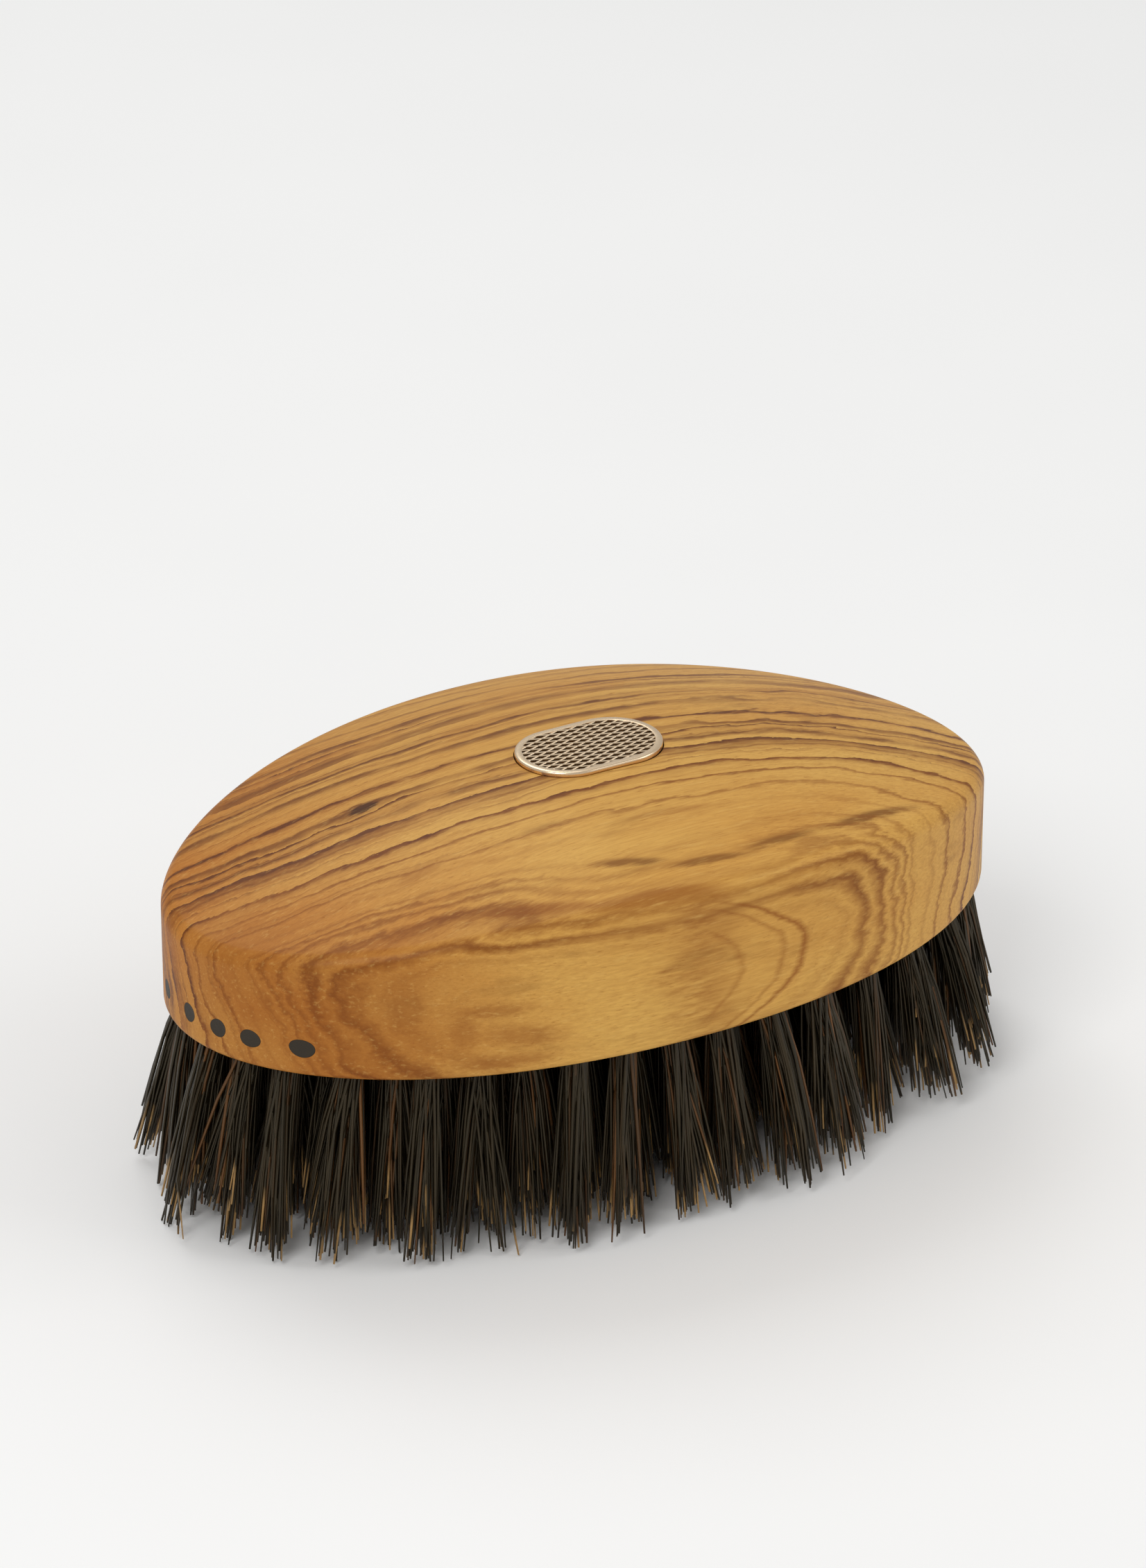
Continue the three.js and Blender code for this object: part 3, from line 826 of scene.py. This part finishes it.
def addBadge(s):
    low, high = badgeLow[2] + s["underlap"], badgeHigh[2]
    borderPoints, borderFaces = borderRing(s, low, high)
    ribPoints, ribFaces = manyTubes(ribRings(s, low + s["ribLift"], high))
    shifted = [faces + len(borderPoints) for faces in ribFaces]
    mesh = meshFrom("grille", np.concatenate([borderPoints, ribPoints]), borderFaces + shifted)
    piece = addObject("badge_lattice", mesh)
    smoothShading(mesh, s["sharpAngle"])
    placePiece(piece, metalMaterial(s), ["badge_grille"])
    print("badge done")


addBadge(badgeSettings)


hairSettings = {
    "perTuft": 56, "radius": (0.14, 0.24), "sides": 4, "sharpAngle": 100,
    # steps from the tip, at 1, towards the mouth of the hole, and the share of the thickness at each
    "steps": (1.0, 0.68, 0.34), "taper": (0.5, 0.85, 0.95),
    # where the hairs leave the hole, and how much of that place their tips keep
    "mouthRadius": 1.46, "mouthClear": 0.02, "turnClear": 0.06, "kept": 0.4,
    # how far the tips spread: whole tufts, the clumps of a tuft, single hairs and the odd stray one
    "tuftTurn": 0.8, "tuftFan": (0.6, 1.35), "clumps": 8, "fanLength": 1.6, "fanWidth": 1.6,
    "hairFan": 0.2, "strayShare": 0.09, "strayFan": 2.4,
    # how far the tips end above the longest one's: tufts, clumps and single hairs
    "longest": 0.0, "tuftSpread": 0.6, "clumpSpread": 5.2, "clumpPower": 1.7,
    "spread": 8.0, "spreadShape": (0.8, 3.2),
    "rightLift": 1.6, "liftFrom": 8, "liftSpan": 36,  # the tips rise towards the end without plugs
    "bend": 0.28, "curl": 1.6, "splayPower": 0.8,
    # the fold over the wire
    "foldReach": 0.85, "wireGap": 0.42, "foldSpread": 0.5, "foldDrop": 0.1, "foldHeight": 0.5,
    "foldLift": 0.45,
    # how far past the wood the hairs may reach, and their least height over the floor
    "overhang": (4.28, 2.58), "reachShare": 1.5, "floorGap": 0.12,
    "tones": ((0.0, "181309"), (0.5, "211a0d"), (0.82, "2a2011"), (0.92, "442a13"), (1.0, "66411f")),
    "streak": "4b3a28", "tip": "b08a56", "roughness": 0.4,
}


# One row of folded hairs, as a path of eleven points each: tip, two steps, mouth, beside the wire, over
# it, and back. Between mouth and tip the way sideways grows as the step to splayPower, with a bow of the
# bend times the step times one minus the step.
def hairRow(row, number, s):
    rng = np.random.default_rng(seed + number)
    tufts = len(row["folds"])
    count = tufts * s["perTuft"]
    foldX = np.repeat(row["folds"], s["perTuft"])
    foldY = np.full(count, row["y"])
    thickness = rng.uniform(*s["radius"], count)
    mouthX, mouthY = leanAt(foldX, foldY, undersideZ)
    tipX, tipY = leanAt(foldX, foldY, 0)
    tuftDrop = s["tuftSpread"] * rng.uniform(0, 1, tufts) ** 2
    tuftDrop += s["rightLift"] * np.clip((row["folds"] - s["liftFrom"]) / s["liftSpan"], 0, 1)
    tuftDrop = np.repeat(tuftDrop, s["perTuft"])
    tuftTurn = [np.repeat(rng.normal(0, s["tuftTurn"], tufts), s["perTuft"]) for _ in range(2)]
    tuftFan = np.repeat(rng.uniform(*s["tuftFan"], tufts), s["perTuft"])
    alongFold = rng.uniform(-1, 1, count) * s["foldReach"]
    clumps = s["clumps"]
    clumpOf = np.repeat(np.arange(tufts), s["perTuft"]) * clumps + rng.integers(0, clumps, count)

    halves = []
    for side in (-1, 1):  # each hair is folded over the wire, one half on each side of it
        radius = s["mouthRadius"] * np.sqrt(rng.uniform(s["mouthClear"], 1, count))
        turn = rng.uniform(s["turnClear"], np.pi - s["turnClear"], count)
        atX, atY = mouthX + radius * np.cos(turn), mouthY + side * radius * np.sin(turn)
        clumpFan = rng.normal(0, 1, (2, tufts * clumps))[:, clumpOf]
        clumpShort = (rng.uniform(0, 1, tufts * clumps) ** s["clumpPower"])[clumpOf] * s["clumpSpread"]
        stray = np.where(rng.uniform(0, 1, count) < s["strayShare"], s["strayFan"], 1.0)
        fan = clumpFan * tuftFan + rng.normal(0, 1, (2, count)) * s["hairFan"] * stray
        endZ = s["longest"] + tuftDrop + clumpShort + s["spread"] * rng.beta(*s["spreadShape"], count)
        endX = tipX + tuftTurn[0] + radius * np.cos(turn) * s["kept"] + fan[0] * s["fanLength"]
        endY = tipY + tuftTurn[1] + side * radius * np.sin(turn) * s["kept"] + fan[1] * s["fanWidth"]
        share = (undersideZ - endZ) / undersideZ
        endX, endY = atX + (endX - atX) * share, atY + (endY - atY) * share
        bendX, bendY = rng.normal(0, s["bend"], (2, count))
        points = []
        for step in s["steps"]:
            curl = (step * (1 - step)) * s["curl"]
            splay = step ** s["splayPower"]
            points.append(np.stack([atX + (endX - atX) * splay + bendX * curl,
                                    atY + (endY - atY) * splay + bendY * curl,
                                    undersideZ + (endZ - undersideZ) * step], -1))
        points.append(np.stack([atX, atY, np.full(count, undersideZ)], -1))
        beside = s["wireGap"] + s["foldSpread"] * radius / s["mouthRadius"]
        points.append(np.stack([foldX + alongFold, foldY + side * beside,
                                np.full(count, channelZ - s["foldDrop"])], -1))
        halves.append(points)
    lift = rng.uniform(0, s["foldLift"], count)
    top = np.stack([foldX + alongFold, foldY, channelZ + s["foldHeight"] + lift], -1)
    path = np.stack(halves[0] + [top] + halves[1][::-1], 1)
    inside = 2 * len(halves[0]) + 1 - 2 * len(s["steps"])  # the points from mouth to mouth
    taper = np.array([*s["taper"], *[1] * inside, *s["taper"][::-1]])
    along = np.array([*s["steps"], *[0] * inside, *s["steps"][::-1]])
    half = (np.arange(len(along)) > len(along) // 2).astype(int)  # each half has its own tone
    tone = rng.uniform(0, 1, (count, 2))[:, half]
    radii = thickness[:, None] * taper
    limit = np.array([halfLength, halfWidth]) + s["overhang"]
    reach = radii.max() * s["reachShare"]
    for axis in (0, 1):
        path[:, :, axis] = np.clip(path[:, :, axis], reach - limit[axis], limit[axis] - reach)
    path[:, :, 2] = np.maximum(path[:, :, 2], s["floorGap"])
    return path, radii, tone, np.broadcast_to(along, tone.shape)


# A tube round each path: at each point a ring, the cosine of the angle times a side vector and its sine
# times the cross product of the path's direction with that vector.
def tubeRings(path, radii, sides):
    run = np.gradient(path, axis=1)
    run /= np.linalg.norm(run, axis=-1, keepdims=True)
    side = np.array([1.0, 0, 0]) - run * run[..., :1]
    side /= np.linalg.norm(side, axis=-1, keepdims=True)
    other = np.cross(run, side)
    angles = ringAngles(sides)
    offset = (side[:, :, None] * np.cos(angles)[:, None] + other[:, :, None] * np.sin(angles)[:, None])
    return path[:, :, None] + offset * radii[:, :, None, None]


def hairMaterial(s):
    material, place = newMaterial("boarBristle")
    tone = place.node("ShaderNodeAttribute", {"attribute_name": "hairTone"}, output="Fac")
    along = place.node("ShaderNodeAttribute", {"attribute_name": "hairAlong"}, output="Fac")
    colour = tone.ramp([(stop, linear(shade)) for stop, shade in s["tones"]])
    paleTip = (tone * 7.31).fraction()  # another random number for each half hair
    tipStart = 1.04 - paleTip.between(0.62, 1.0) * 0.32
    tip = (along - tipStart) / 0.12
    streak = place.noise((1.2, 1.2, 0.35), 2, 0.5)
    colour = place.mixed(streak.between(0.25, 0.75) * 0.35, colour, linear(s["streak"]))
    colour = place.mixed((tip + streak * 0.5).clamped(), colour, linear(s["tip"]))
    finishMaterial(place, {"Base Color": colour, "Roughness": s["roughness"] + streak * 0.08,
                           "Normal": place.bump(streak, 0.02, 0.4),
                           "Specular Tint": (1.0, 0.86, 0.64, 1.0)})
    return material


def addBristles(s):
    material = hairMaterial(s)
    total = 0
    for number, row in enumerate(rows, 1):
        path, radii, tone, along = hairRow(row, number, s)
        rings = tubeRings(path, radii, s["sides"])
        mesh = meshFrom(f"hair_{number:02d}", *manyTubes(rings))
        for name, values in (("hairTone", tone), ("hairAlong", along)):
            attribute = mesh.attributes.new(name, "FLOAT", "POINT")
            attribute.data.foreach_set("value", np.repeat(values.ravel(), s["sides"]).astype(np.float32))
        smoothShading(mesh, s["sharpAngle"])
        piece = addObject(f"hair_row_{number:02d}", mesh)
        placePiece(piece, material, [f"bristle_row_{number:02d}"])
        total += len(path)
    print("bristles:", total, "folded hairs in", len(rows), "rows")


addBristles(hairSettings)


innerSettings = {
    "wireLight": "b4b2ad", "wireDark": "8f8d88", "wireRoughness": 0.32,
    "glueLight": "cfc8b4", "glueDark": "b9ab8d", "glueRoughness": 0.6,
}


def wireMaterial(s):
    material, place = newMaterial("drawnSteel")
    drawn = place.noise((0.5, 20.0, 20.0), 3, 0.6)
    colour = place.mixed((drawn * 0.5 + 0.5).clamped(), linear(s["wireLight"]), linear(s["wireDark"]))
    finishMaterial(place, {"Base Color": colour, "Metallic": 1.0,
                           "Roughness": s["wireRoughness"] + drawn * 0.08,
                           "Normal": place.bump(drawn, 0.01, 0.4)})
    return material


def glueMaterial(s):
    material, place = newMaterial("driedGlue")
    lumps = place.noise((1.2, 1.2, 1.2), 3, 0.6)
    colour = place.mixed((lumps * 0.5 + 0.5).clamped(), linear(s["glueLight"]), linear(s["glueDark"]))
    finishMaterial(place, {"Base Color": colour, "Roughness": s["glueRoughness"] + lumps * 0.1,
                           "Normal": place.bump(lumps, 0.05, 0.4)})
    return material


def dressNodes(s):  # the pieces that keep their own shape
    finishes = {"draw_wire": wireMaterial(s), "badge_backing": enamelMaterial(badgeSettings),
                "badge_adhesive": glueMaterial(s)}
    for name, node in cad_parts.items():
        for start, material in finishes.items():
            if name.startswith(start):
                node.data.materials.clear()
                node.data.materials.append(material)
    print("wires, enamel and glue done")


dressNodes(innerSettings)
